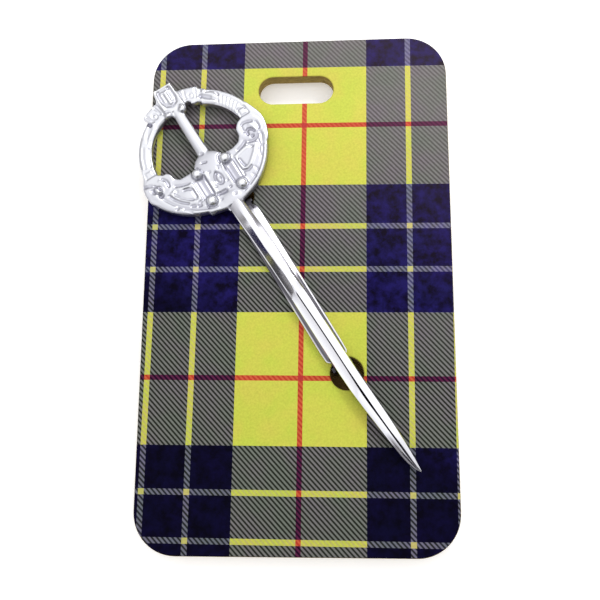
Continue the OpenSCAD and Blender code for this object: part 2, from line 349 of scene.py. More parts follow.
tartan, tree, tartan_shader = new_material(
    "lacquered_tartan_print", {"Roughness": 0.4, "Specular IOR Level": 0.02}
)
place = add_node(tree, "TexCoord").outputs["Object"]
onto_print = {
    "Location": (-(CARD_X + RED_X) / PRINT_SQUEEZE, -RED_Y, 0.0),
    "Rotation": (0.0, 0.0, PRINT_TURN),
    "Scale": (1000.0 / PRINT_SQUEEZE, 1000.0, 1000.0),
}
print_mm = add_node(tree, "Mapping", onto_print, {0: place})
across_up = add_node(tree, "SeparateXYZ", {}, {0: print_mm})
folds, kinds = [], []
for axis in (0, 1):
    there_and_back = {"operation": "PINGPONG", 1: HALF_SETT}
    fold = add_node(tree, "Math", there_and_back, {0: across_up.outputs[axis]})
    folds.append(add_node(tree, "Math", {"operation": "DIVIDE", 1: HALF_SETT}, {0: fold}))
    ramp = add_node(tree, "ValToRGB", {}, {0: folds[axis]}, SETT_KINDS)
    ramp.color_ramp.interpolation = "CONSTANT"
    kinds.append(add_node(tree, "SeparateColor", {}, {0: ramp}))


def thread_colour(own, other):
    """The colour of one direction's thread, which depends on the thread that it crosses."""
    ramps = []
    for stops in (OVER_NAVY, OVER_YELLOW, OVER_RED):
        ramp = add_node(tree, "ValToRGB", {}, {0: folds[own]}, stops)
        ramp.color_ramp.interpolation = "CONSTANT"
        ramps.append(ramp)
    colour = ramps[0]
    for ramp, kind in ((ramps[1], 1), (ramps[2], 0)):
        links = {0: kinds[other].outputs[kind], MIX_A: colour, MIX_B: ramp}
        colour = add_node(tree, "Mix", {"data_type": "RGBA"}, links).outputs[MIX_OUT]
    return colour


slant = add_node(tree, "VectorMath", {"operation": "DOT_PRODUCT", 1: TWILL}, {0: print_mm})
full_turn = {"operation": "MULTIPLY", 1: 2 * math.pi}
turns = add_node(tree, "Math", full_turn, {0: slant.outputs["Value"]})
wave = add_node(tree, "Math", {"operation": "SINE"}, {0: turns})
soft_edge = {"interpolation_type": "SMOOTHSTEP", "From Min": -0.55, "From Max": 0.55}
lines = add_node(tree, "MapRange", soft_edge, {0: wave})
climb = add_node(tree, "VectorMath", {"operation": "DOT_PRODUCT", 1: TOP_RIGHT}, {0: place})
rise = climb.outputs["Value"]  # from about -0.07 in the bottom left corner to 0.07 in the top right one
run_together = {"From Min": -0.005, "From Max": 0.055, "To Max": 0.48}
runny = add_node(tree, "MapRange", run_together, {0: rise})
# The paler of the two threads is the one that spreads: it is the across one where the other is navy
pair = {NUMBER_A: lines, NUMBER_B: kinds[1].outputs[2]}
spread = add_node(tree, "Mix", {"data_type": "FLOAT"}, {0: runny, **pair})
pair = {MIX_A: thread_colour(1, 0), MIX_B: thread_colour(0, 1)}
woven = add_node(tree, "Mix", {"data_type": "RGBA"}, {0: spread, **pair})
print("twill lines every", round(1 / math.hypot(*TWILL), 2), "mm, sett of", 2 * HALF_SETT, "mm")

# %% [markdown]
# Dye takes unevenly. The yellow squares are only faintly clouded, but the navy ones are nearly black with
# bluer patches a few millimetres wide, so blue is added where both threads are navy. Painted light lies over
# the print. It gets paler towards the top right corner, with a painted sheen there, and darker and greener
# towards the bottom, with less of the blue, as painted shade.

# %% Mottled dye and painted light
# The scales are per millimetre of print
blotches = {"Scale": 0.5, "Detail": 5.0, "Roughness": 0.65}
clouds = add_node(tree, "TexNoise", blotches, {0: print_mm})
grain = add_node(tree, "TexNoise", {"Scale": 2.6, "Detail": 2.0}, {0: print_mm})
drift = add_node(tree, "TexNoise", {"Scale": 0.16, "Detail": 3.0}, {0: print_mm})
# Painted light: the print's colour falls off from the top right corner to the bottom
falloff_along = add_node(tree, "MapRange", {"From Min": -0.06, "From Max": 0.06}, {0: rise})

DRIFT_STOPS = [(0.35, "#F0F8EA"), (0.5, "#F8F6F2"), (0.65, "#FDF2FA")]
tint = add_node(tree, "ValToRGB", {}, {0: drift}, DRIFT_STOPS)
shade = add_node(tree, "ValToRGB", {}, {0: grain}, [(0.3, "#EEEEEE"), (0.7, "#FFFFFF")])
FALLOFF_STOPS = [(0.0, "#DADFDC"), (1.0, "#EBECF0")]
painted_falloff = add_node(tree, "ValToRGB", {}, {0: falloff_along}, FALLOFF_STOPS)
BLUE_STOPS = [(0.36, "#0C0618"), (0.64, "#241E66")]
blue = add_node(tree, "ValToRGB", {}, {0: clouds}, BLUE_STOPS)

# Painted shade: less blue is added towards the bottom
blue_falloff = {"From Min": -0.020, "From Max": -0.010, "To Min": 0.2, "To Max": 0.9}
both_navy = add_node(tree, "MapRange", blue_falloff, {0: rise})
past_yellow = {"operation": "GREATER_THAN", 1: YELLOW_END / HALF_SETT}
for fold in folds:
    navy = add_node(tree, "Math", past_yellow, {0: fold})
    both_navy = add_node(tree, "Math", {"operation": "MULTIPLY"}, {0: navy, 1: both_navy})
pair = {MIX_A: woven.outputs[MIX_OUT], MIX_B: blue}
colour = add_node(tree, "Mix", {"data_type": "RGBA", "blend_type": "ADD"}, {0: both_navy, **pair})
for layer in (tint, shade, painted_falloff):
    fields = {"data_type": "RGBA", "blend_type": "MULTIPLY", 0: 1.0}
    pair = {MIX_A: colour.outputs[MIX_OUT], MIX_B: layer}
    colour = add_node(tree, "Mix", fields, pair)
# Painted sheen: a pale pink laid over the top right corner
sheen_above = {"From Min": 0.010, "From Max": 0.060, "To Max": 0.04}
painted_sheen = add_node(tree, "MapRange", sheen_above, {0: rise})
painted_sheen_mix = {"data_type": "RGBA", MIX_B: linear("#C8AAA4")}
colour = add_node(tree, "Mix", painted_sheen_mix, {0: painted_sheen, MIX_A: colour.outputs[MIX_OUT]})
ripple = add_node(tree, "TexNoise", {"Scale": 1.2, "Detail": 1.0}, {0: print_mm})
thin_coat = {"Strength": 0.08, "Distance": 0.00005}
lacquer = add_node(tree, "Bump", thin_coat, {"Height": ripple})
tree.links.new(colour.outputs[MIX_OUT], tartan_shader.inputs["Base Color"])
tree.links.new(lacquer.outputs[0], tartan_shader.inputs["Normal"])
print("tartan has", len(tree.nodes), "nodes")

# %% [markdown]
# Hardboard is wood fibre pressed flat and dark. To the eye it is dull, with no shine, and mottled from
# straw to dark brown. Its sawn edge shows thin layers that run along the board, so the pattern is
# squeezed in height.

# %% Hardboard
dull = {"Roughness": 0.82, "Specular IOR Level": 0.2}
hardboard, tree, board_shader = new_material("pressed_hardboard", dull)
place = add_node(tree, "TexCoord").outputs["Object"]
# Clumps about 1.1 mm long and wide and 0.24 mm thick: real fibres are finer and wouldn't show
layers = add_node(tree, "Mapping", {"Scale": (900.0, 900.0, 4200.0)}, {0: place})
clumps = {"Scale": 1.0, "Detail": 5.0, "Roughness": 0.65}
fibres = add_node(tree, "TexNoise", clumps, {0: layers})
BROWN_STOPS = [(0.3, "#6E5A2C"), (0.55, "#A08A4A"), (0.75, "#B8A25C")]
brown = add_node(tree, "ValToRGB", {}, {0: fibres}, BROWN_STOPS)
fuzzy = {"Strength": 0.5, "Distance": 0.0001}
rough = add_node(tree, "Bump", fuzzy, {"Height": fibres})
tree.links.new(brown.outputs[0], board_shader.inputs["Base Color"])
tree.links.new(rough.outputs[0], board_shader.inputs["Normal"])
for face in card_form.faces:
    face.material_index = 0 if face.calc_center_median().z > CARD_Z + CARD_T - 0.2 else 1
card = finish_piece("tartan_card", card_form, [tartan, hardboard], 40.0)
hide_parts("card")

# %% [markdown]
# ## Chrome plate
# Chrome over polished nickel is a mirror with a faint blue cast. The blade and the bar are buffed bright.
# The cast relief keeps a slight ripple from its mould, so it looks softer and greyer. Painted shade, darker
# and rougher, lies on both: in the grooves, on the walls, on the lower half of the head, and where the
# blade's dark reflections fall on the blade and the bar. Ridges and the tops of the balls get a painted
# highlight. How much painted shade a place gets comes from an attribute of the mesh, so it shows from every
# side. The needle has no such attribute and counts as unshaded all over.

# %% Chrome and steel
SHADED_ROUGHNESS = 0.45


def plated(name, roughness, ripple_scale, ripple_strength, stops):
    """Ripples are counted per metre. The stops give the colour from a place without painted shade to the
    darkest painted shade.
    """
    material, tree, shader = new_material(name, {"Metallic": 1.0})
    place = add_node(tree, "TexCoord").outputs["Object"]
    hollow = add_node(tree, "Attribute", {"attribute_name": "hollow"}).outputs["Fac"]
    # Painted shade: the attribute darkens the base colour and raises the roughness
    painted_shade_colour = add_node(tree, "ValToRGB", {}, {0: hollow}, stops)
    duller = {"To Min": roughness, "To Max": SHADED_ROUGHNESS}
    matt = add_node(tree, "MapRange", duller, {0: hollow})
    ripple = add_node(tree, "TexNoise", {"Scale": ripple_scale, "Detail": 2.0}, {0: place})
    uneven = {"Strength": ripple_strength, "Distance": 0.0001}
    bump = add_node(tree, "Bump", uneven, {"Height": ripple})
    tree.links.new(painted_shade_colour.outputs[0], shader.inputs["Base Color"])
    tree.links.new(matt.outputs[0], shader.inputs["Roughness"])
    tree.links.new(bump.outputs[0], shader.inputs["Normal"])
    return material


# Buffed chrome for the blade and the bar: a bright mirror, with ripples of 1.4 mm that hardly bend its gleam
BUFFED_STOPS = [(0.0, "#EEEFF3"), (0.5, "#C4C3C8"), (0.8, "#6E6C72"), (1.0, "#2C2B30")]
buffed = plated("buffed_chrome_plate", 0.08, 700.0, 0.06, BUFFED_STOPS)
# Cast chrome for the relief: a softer pale grey that dims its reflections, with painted shade in the grooves
# and on the walls
CAST_STOPS = [(0.0, "#EAEBEE"), (0.3, "#D4D5DA"), (0.6, "#B4B4BE"), (0.85, "#908E9A"), (1.0, "#4C4A54")]
cast = plated("cast_chrome_plate", 0.28, 1000.0, 0.1, CAST_STOPS)
# Drawn wire for the needle: plain grey, with a grain of 0.4 mm, coarser than the real one so that it shows
steel = plated("drawn_steel_wire", 0.28, 2500.0, 0.15, [(0.0, "#B9BBC0"), (1.0, "#6A6A70")])
print("plated finishes ready")

# %% [markdown]
# ## The cast head
# A casting has no sharp joins, so the head is built as a caster's model would be: simple closed lumps,
# pushed into each other, are melted into one skin by a voxel remesh. Cutting the openings into one plate
# would leave harder corners than a mould does. Each lump starts from a basic shape or from a small
# section that is spun round the head's centre. X runs to the right of the pin, Y to the top of the head,
# in millimetres.

# %% Lumps
CENTRE = (0.0, 0.3)  # centre of the head's circles
PLATE_TOP = 1.65
SOFTENED = 0.35  # how far a band's upper edges are cut off
DEGREES_A_STEP = 2.5


def disc(form, x, y, radius, high):
    """A low round block, a little narrower at its top."""
    matrix = Matrix.Translation((x, y, high / 2))
    bmesh.ops.create_cone(
        form, cap_ends=True, segments=48, radius1=radius, radius2=radius - 0.2, depth=high, matrix=matrix
    )


def ball(form, x, y, z, radius, flat, stretch):
    """A ball, with its height and its length along the pin given as parts of its radius."""
    matrix = Matrix.Translation((x, y, z)) @ Matrix.Diagonal((radius, radius * stretch, radius * flat, 1.0))
    bmesh.ops.create_uvsphere(form, u_segments=32, v_segments=20, radius=1.0, matrix=matrix)


def slab(form, points, high):
    """A block with the given outline."""
    face = form.faces.new([form.verts.new((x, y, 0.0)) for x, y in points])
    done = bmesh.ops.extrude_face_region(form, geom=[face], use_keep_orig=True)
    verts = [part for part in done["geom"] if isinstance(part, bmesh.types.BMVert)]
    bmesh.ops.translate(form, vec=(0.0, 0.0, high), verts=verts)


def arc(form, inner, outer, high, start, sweep, centre):
    """A band with soft upper edges, spun round a centre. Angles go clockwise from the head's top."""
    section = [(inner, 0.0), (outer, 0.0), (outer, high - SOFTENED), (outer - SOFTENED, high)]
    section += [(inner + SOFTENED, high), (inner, high - SOFTENED)]
    along_x, along_y = math.sin(math.radians(start)), math.cos(math.radians(start))
    verts = [form.verts.new((centre[0] + r * along_x, centre[1] + r * along_y, z)) for r, z in section]
    face = form.faces.new(verts)
    bmesh.ops.spin(
        form,
        geom=[face, *face.edges, *verts],
        cent=(*centre, 0.0),
        axis=(0.0, 0.0, -1.0),
        angle=math.radians(sweep),
        steps=max(3, int(sweep / DEGREES_A_STEP)),
        use_merge=False,
    )


def loft(form, sections):
    """A closed skin through sections that all have the same number of points."""
    rings = []
    for section in sections:
        verts = [form.verts.new(point) for point in section]
        rings.append([form.edges.new((verts[i - 1], verts[i])) for i in range(len(verts))])
    for ring, next_ring in zip(rings, rings[1:]):
        bmesh.ops.bridge_loops(form, edges=ring + next_ring)
    for ring in (rings[0], rings[-1]):
        bmesh.ops.edgeloop_fill(form, edges=ring)


def around(angle, radius):
    """A place on the head, at an angle that goes clockwise from its top."""
    a = math.radians(angle)
    return CENTRE[0] + radius * math.sin(a), CENTRE[1] + radius * math.cos(a)


def add_form(form, other):
    """Puts a second form into the first one."""
    mesh = bpy.data.meshes.new("passing_on")
    other.to_mesh(mesh)
    other.free()
    form.from_mesh(mesh)
    bpy.data.meshes.remove(mesh)


print("lump makers ready")

# %% [markdown]
# The openings aren't cut. They are what the lumps leave free: the upper band, the two round terminals
# where it meets the lower half, the crown in the middle and the rod between them. The right side of the
# real band bulges a little, so its arc has a centre of its own.

# %% Main lumps of the head
head = bmesh.new()
RIGHT_CENTRE = (0.65, 0.35)
LEFT_LOW_CENTRE = (-1.3, 0.9)
OPENINGS_FLOOR = -2.85
LEFT_CHEEK = [(-12.3, 3.0), (-12.7, 1.2), (-13.3, 0.3), (-13.9, -0.8), (-14.1, -2.0), (-14.0, -3.8)]
LEFT_CHEEK += [(-13.3, -5.0), (-10.2, -5.5), (-10.2, 1.0)]
RIGHT_CHEEK = [(12.8, 4.4), (13.5, 2.6), (14.05, 0.9), (14.15, -0.8), (13.8, -2.4), (13.2, -4.0)]
RIGHT_CHEEK += [(12.6, -5.0), (10.2, -5.5), (10.4, 3.0)]

# Columns: inner radius, outer radius, height, first angle, sweep, centre
BANDS = [
    (9.85, 12.6, PLATE_TOP, -102, 88, CENTRE),  # left side of the upper band
    (9.5, 12.75, PLATE_TOP, 28, 60, RIGHT_CENTRE),  # right side of the upper band
    (9.95, 13.95, PLATE_TOP + 0.1, -28, 14, CENTRE),  # left shoulder
    (10.75, 13.95, PLATE_TOP + 0.1, -16, 26, CENTRE),  # crown between the shoulders
    (10.75, 13.95, PLATE_TOP + 0.1, 8, 19, CENTRE),  # right shoulder
    (10.3, 13.45, PLATE_TOP, 26, 7, CENTRE),  # step from the right shoulder to the band
    (10.1, 11.5, PLATE_TOP, 19.2, 5.2, CENTRE),  # small foot of the right shoulder
    (9.5, 13.5, PLATE_TOP, 92, 110, CENTRE),  # lower rim, right side and bottom
    (9.5, 13.35, PLATE_TOP, 192, 56, LEFT_LOW_CENTRE),  # lower rim, left side
]
LEFT_FOOT = [(-9.5, -4.0), (-9.5, -1.0), (-7.7, -1.6), (-7.2, -2.3), (-6.4, -3.0), (-6.0, -4.0)]
RIGHT_FOOT = [(6.0, -4.0), (5.6, -2.8), (7.2, -2.3), (7.8, -1.4), (9.5, -1.0), (9.5, -4.0)]
COLLAR = [(-3.9, -12.0), (-2.6, -12.8), (-1.6, -13.3), (-1.5, -13.9)]
COLLAR += [(1.6, -13.9), (1.8, -13.3), (3.9, -12.0)]
TOP_PLATE = [(-1.95, 16.2), (2.0, 16.2), (2.1, 13.5), (2.4, 10.4), (-2.5, 10.4), (-2.5, 13.6)]
# Columns: x, y, radius, height
DISCS = [
    (-11.1, -1.95, 2.75, PLATE_TOP + 0.1),  # left terminal
    (-8.75, -1.45, 1.35, PLATE_TOP + 0.1),
    (10.55, -0.9, 2.75, PLATE_TOP + 0.1),  # right terminal
    (9.0, -1.1, 1.2, PLATE_TOP + 0.1),
    (0.15, -4.0, 3.55, PLATE_TOP),  # foot of the rod
]

for inner, outer, high, first, sweep, centre in BANDS:
    arc(head, inner, outer, high, first, sweep, centre)
for outline in (LEFT_CHEEK, RIGHT_CHEEK, LEFT_FOOT, RIGHT_FOOT):
    slab(head, outline, PLATE_TOP)
slab(head, COLLAR, 1.3)
slab(head, TOP_PLATE, PLATE_TOP + 0.4)
for x, y, radius, high in DISCS:
    disc(head, x, y, radius, high)

# The lower half is a round plate, cut off straight under the openings
lower = bmesh.new()
disc(lower, *CENTRE, 13.15, PLATE_TOP)
cut = bmesh.ops.bisect_plane(
    lower,
    geom=[*lower.verts, *lower.edges, *lower.faces],
    plane_co=(0.0, OPENINGS_FLOOR, 0.0),
    plane_no=(0.0, 1.0, 0.0),
    clear_outer=True,
)
rim_edges = [part for part in cut["geom_cut"] if isinstance(part, bmesh.types.BMEdge)]
bmesh.ops.holes_fill(lower, edges=rim_edges)
add_form(head, lower)
print("main lumps:", len(head.faces), "faces")

# %% [markdown]
# The rod is a ridge with a narrow bright top. Four balls, two flat domes and the bosses of the collar sit
# half sunk in the plate.

# %% Rod, balls and bosses
ROD_SECTION = [(-1.1, 0.0), (-1.1, 1.35), (-0.3, 1.85), (0.4, 1.85), (1.3, 1.4), (1.3, 0.0)]  # x and z
ROD_ROWS = [(-2.6, 1.1), (2.0, 1.0), (6.0, 0.96), (10.6, 0.92)]  # place along the pin and width

BALL_PLACES = [(-3.2, -4.0), (3.15, -4.0), (-3.45, -10.35), (3.4, -10.4)]
# Columns: x, y, z, radius, height, length
BOSSES = [
    (0.0, -3.9, 1.4, 3.5, 0.22, 1.0),  # dome under the rod
    (0.3, -11.5, 1.3, 2.6, 0.22, 0.6),  # dome over the blade
    (-1.75, 10.05, 1.6, 0.85, 1.0, 0.7),  # collar, left
    (1.25, 10.0, 1.5, 1.0, 1.0, 1.0),  # collar, right
    (-11.3, -2.7, 1.8, 0.85, 0.9, 1.0),  # in the left scroll
    (-4.5, -12.05, 0.8, 0.7, 1.0, 1.0),  # on the rim by the blade
]

loft(head, [[(x * wide, y, z) for x, z in ROD_SECTION] for y, wide in ROD_ROWS])
for x, y in BALL_PLACES:
    ball(head, x, y, 1.92, 1.12, 0.95, 1.0)
for x, y, z, radius, flat, stretch in BOSSES:
    ball(head, x, y, z, radius, flat, stretch)
print("lumps in all:", len(head.faces), "faces")

# %% [markdown]
# The remesh lays a skin of even small squares over all lumps. Its steps are smoothed away. The front
# alone is then divided once more, because the engraving needs points every tenth of a millimetre there.

# %% Melt the lumps
VOXEL = 0.19


def relax(form, passes, factor):
    for _ in range(passes):
        bmesh.ops.smooth_vert(
            form, verts=form.verts, factor=factor, use_axis_x=True, use_axis_y=True, use_axis_z=True
        )


lump_mesh = bpy.data.meshes.new("head_lumps")
head.to_mesh(lump_mesh)
head.free()
carrier = bpy.data.objects.new("head_lumps", lump_mesh)
scene.collection.objects.link(carrier)
remesh = carrier.modifiers.new("melt", "REMESH")
remesh.mode = "VOXEL"
remesh.voxel_size = VOXEL
melted = bpy.data.meshes.new_from_object(carrier.evaluated_get(bpy.context.evaluated_depsgraph_get()))
bpy.data.objects.remove(carrier)
bpy.data.meshes.remove(lump_mesh)
head = bmesh.new()
head.from_mesh(melted)
bpy.data.meshes.remove(melted)
relax(head, 3, 0.5)
head.normal_update()
front = {edge for face in head.faces if face.normal.z > 0.35 for edge in face.edges}
bmesh.ops.subdivide_edges(head, edges=list(front), cuts=1, use_grid_fill=True)
relax(head, 1, 0.5)
print("melted head:", len(head.verts), "points")

# %% [markdown]
# ## Engraving
# The relief was cut into the caster's pattern with small round gravers. Each stroke here has a width in
# millimetres, a depth as a part of one deep cut, and the points it passes. A negative depth cuts a groove
# and a positive one raises a ridge. The strokes are grouped by the part of the head they are on.

# %% Strokes on the top block, the shoulders and the cartouches
STROKE_UP = 0.5  # the strokes were measured from a line this far over the lumps' zero


def both(width, depth, points, left=1.0):
    """A stroke on the right and the same on the left, which can be shallower."""
    return [(width, depth, points), (width, depth * left, [(-x, y) for x, y in points])]


def ring(width, depth, x, y, across, along):
    turn = [math.radians(30 * step) for step in range(13)]
    return [(width, depth, [(x + across * math.cos(a), y + along * math.sin(a)) for a in turn])]


ARCH = [(-1.3, 14.9), (-1.35, 12.6), (-0.95, 11.5), (0, 11.05), (0.95, 11.5), (1.25, 12.6), (1.2, 14.9)]
TOP_BLOCK = [
    (0.5, -0.55, ARCH),
    (0.4, -0.4, [(-0.9, 14.95), (0.95, 14.95)]),
    (0.32, -0.4, [(-0.6, 14.0), (-0.55, 11.9)]),
    (0.32, -0.4, [(0.62, 14.0), (0.6, 12.2)]),
    (0.4, 0.25, [(0, 14.2), (0, 11.6)]),
    (0.5, 0.15, [(-1.6, 15.7), (1.6, 15.7)]),
    (0.35, -0.35, [(-2.4, 10.5), (-1.6, 10.45), (-1.2, 10.0)]),
    (0.55, -0.4, [(0.8, 9.8), (0.85, 9.8)]),
    *both(0.5, 0.2, [(1.85, 15.6), (2.05, 13.0), (2.0, 11.0)]),
    *both(0.35, -0.2, [(2.65, 13.2), (2.4, 11.7), (2.35, 10.6)], 2.0),
]
SHOULDERS = [
    *both(0.35, -0.2, [(3.4, 12.6), (3.1, 11.6), (3.0, 10.9)], 2.0),
    *both(0.4, -0.18, [(5.65, 11.8), (5.2, 10.8), (5.05, 10.2)], 2.0),
    *ring(0.3, -0.3, -4.2, 11.0, 0.45, 0.55),
    *ring(0.3, -0.15, 4.2, 11.0, 0.45, 0.55),
    (0.5, -1.3, [(-6.75, 11.35), (-6.3, 10.6), (-5.9, 9.9)]),
    (3.0, -0.15, [(2.9, 12.2), (5.3, 11.4)]),
    (0.5, -0.25, [(6.75, 11.35), (6.2, 10.6), (5.6, 9.6)]),
]
CARTOUCHES = [
    *both(0.6, -0.6, [(5.95, 9.9), (6.3, 9.6), (6.8, 9.0), (7.15, 8.6)], 0.25),
    *both(0.4, -0.45, [(7.2, 10.15), (8.0, 9.75), (8.65, 9.25), (8.9, 8.7), (8.85, 8.3)], 0.3),
    *both(0.6, 0.25, [(6.2, 10.3), (7.4, 9.8), (8.1, 9.1), (8.3, 8.4)], 0.6),
    *both(0.5, 0.15, [(6.8, 10.7), (8.4, 9.9), (9.3, 8.9)]),
    *both(0.5, 0.2, [(5.3, 9.8), (5.7, 8.7), (7.4, 7.3)]),
    *both(0.3, -0.25, [(7.5, 8.2), (8.0, 7.6), (8.3, 7.0)], 0.6),
]
print(len(TOP_BLOCK + SHOULDERS + CARTOUCHES), "strokes over the openings")

# %% [markdown]
# Slanted cuts run down the right side of the band, and two long ones down the left. A small square panel
# ends each.

# %% Strokes on the band
low_band = [around(angle, 10.3) for angle in range(34, 80, 6)]
high_band = [around(angle, 12.35) for angle in range(34, 80, 6)]
BAND = [
    *both(0.3, -0.2, [(x, y - STROKE_UP) for x, y in low_band]),
    *both(0.3, -0.15, [(x, y - STROKE_UP) for x, y in high_band]),
    (0.4, -0.3, [(-8.7, 5.6), (-9.7, 3.9), (-10.3, 2.2)]),
    (0.35, -0.2, [(-9.6, 6.4), (-10.6, 4.6), (-11.3, 2.4)]),
    (0.3, -0.35, [(10.45, 3.15), (12.0, 3.15), (12.15, 1.5), (10.5, 1.5), (10.45, 3.15)]),
    (0.3, -0.2, [(-10.45, 1.6), (-12.0, 1.6), (-12.1, 0.2), (-10.5, 0.2), (-10.45, 1.6)]),
]
for angle in range(50, 76, 4):
    (x, y), (u, v) = around(angle, 10.6), around(angle - 3, 12.1)
    BAND.append((0.3, -0.15, [(x, y - STROKE_UP), (u, v - STROKE_UP)]))
print(len(BAND), "strokes on the band")

# %% [markdown]
# Each terminal has a scroll. The right one opens like a letter C round a small pit, and the left one has
# a boss between deep pits, where the casting looks darkest.

# %% Strokes on the terminals
TERMINALS = [
    (4.0, -0.3, [(10.6, -1.2), (10.6, -2.6)]),
    (0.38, -0.55, [(9.65, -2.6), (9.7, -1.95), (10.2, -1.6), (10.8, -1.9), (11.1, -2.5)]),
    (0.5, -0.5, [(10.2, -3.35), (10.3, -3.35)]),
    (0.35, -0.35, [(9.4, -0.3), (9.9, 0.0), (10.8, -0.1), (11.6, -0.45)]),
    (0.35, -0.35, [(12.3, -1.1), (12.35, -1.9), (12.2, -2.5)]),
    (0.3, -0.3, [(9.25, -0.8), (9.2, -1.7)]),
    (0.35, -0.3, [(9.0, -4.0), (9.6, -4.3), (10.5, -4.2), (11.2, -3.7)]),
    (0.3, -0.2, [(12.15, -3.9), (12.0, -4.8), (11.5, -6.0)]),
    (0.5, 0.25, [(11.0, -0.9), (11.35, -1.6), (11.3, -2.4)]),
    (0.35, -0.5, [(-11.6, -1.9), (-11.2, -2.6), (-10.9, -3.3)]),
    (0.5, -0.5, [(-11.0, -3.2), (-10.95, -3.3)]),
    (0.65, -0.7, [(-11.4, -4.4), (-11.3, -4.4)]),
    (0.6, -0.6, [(-13.4, -1.0), (-13.2, -1.1)]),
    (0.6, -0.4, [(-12.5, -1.3), (-12.2, -1.5)]),
    (0.5, -0.5, [(-12.4, -2.5), (-12.25, -3.2)]),
    (0.4, -0.5, [(-9.5, -1.5), (-9.1, -2.1), (-9.0, -2.8), (-9.15, -3.4)]),
    (0.5, 0.25, [(-10.2, -1.6), (-9.7, -2.3), (-9.7, -3.2)]),
    (0.45, -0.35, [(-8.0, -4.1), (-7.0, -4.7), (-5.8, -5.1)]),
    (0.45, -0.4, [(6.3, -4.4), (7.3, -4.1), (8.3, -3.6)]),
]
print(len(TERMINALS), "strokes on the terminals")

# %% [markdown]
# The lower half has a panel with a raised edge on each side and a rim round the outside. The left panel
# is cut deeper than the right one, as on the photographed pin.

# %% Strokes on the side panels and the rim
LEFT_EDGE = [(-9.5, -5.2), (-9.0, -6.4), (-8.1, -7.6), (-7.0, -8.6), (-5.9, -9.3), (-5.15, -9.2)]
LEFT_EDGE += [(-5.1, -7.5), (-5.1, -5.6), (-6.5, -5.35), (-8.0, -5.0), (-9.5, -5.2)]
RIGHT_EDGE = [(5.1, -5.4), (5.05, -7.0), (5.2, -8.1), (5.7, -8.6), (6.6, -8.4), (7.6, -7.6)]
RIGHT_EDGE += [(8.9, -6.4), (9.9, -5.1), (9.6, -4.8), (8.6, -4.7), (7.0, -4.9), (5.1, -5.4)]
PANELS = [
    (0.5, 0.35, LEFT_EDGE),
    (0.35, -0.4, [(-9.0, -5.7), (-8.5, -6.8), (-7.6, -7.8), (-6.6, -8.5)]),
    (0.35, -0.4, [(-5.55, -8.3), (-5.6, -6.6), (-6.2, -6.0), (-7.0, -5.8)]),
    (0.5, -0.4, [(-8.4, -5.15), (-8.35, -5.15)]),
    (1.8, 0.15, [(-6.8, -7.0), (-6.75, -7.0)]),
    (0.35, -0.4, [(-10.1, -5.3), (-9.7, -6.3), (-8.8, -7.6), (-7.7, -8.6)]),
    (0.5, 0.35, RIGHT_EDGE),
    (0.35, -0.45, [(5.5, -6.2), (5.6, -7.2), (5.8, -7.9)]),
    (0.35, -0.5, [(5.2, -8.8), (5.9, -9.0), (6.8, -8.7)]),
    (0.35, -0.35, [(8.4, -4.6), (9.0, -5.1)]),
    (0.3, -0.3, [(10.8, -4.7), (10.6, -5.8), (9.9, -6.6), (9.5, -7.6)]),
    (0.5, -0.5, [(-10.15, -8.45), (-10.05, -8.45)]),
    (0.4, -0.45, [(-7.4, -9.5), (-6.8, -9.8)]),
    (0.45, -0.5, [(-6.2, -10.2), (-5.8, -10.3)]),
    (0.5, -0.4, [(-5.55, -9.6), (-5.45, -9.6)]),
    (0.3, -0.3, [(-9.0, -9.3), (-8.0, -10.6)]),
    (0.3, -0.3, [(7.3, -9.2), (7.6, -10.0)]),
    (0.3, -0.3, [(6.2, -10.3), (6.4, -11.0)]),
]
for side in (-1, 1):
    outer_rim = [around(side * angle, 13.0) for angle in range(105, 166, 6)]
    inner_rim = [around(side * angle, 12.45) for angle in range(105, 166, 6)]
    PANELS.append((0.6, 0.2, [(x, y - STROKE_UP) for x, y in outer_rim]))
    PANELS.append((0.3, -0.25, [(x, y - STROKE_UP) for x, y in inner_rim]))
print(len(PANELS), "strokes on the lower half")

# %% [markdown]
# The centre plate stands between two hollow channels, with an oval ring in its middle and a row of pits
# under it.

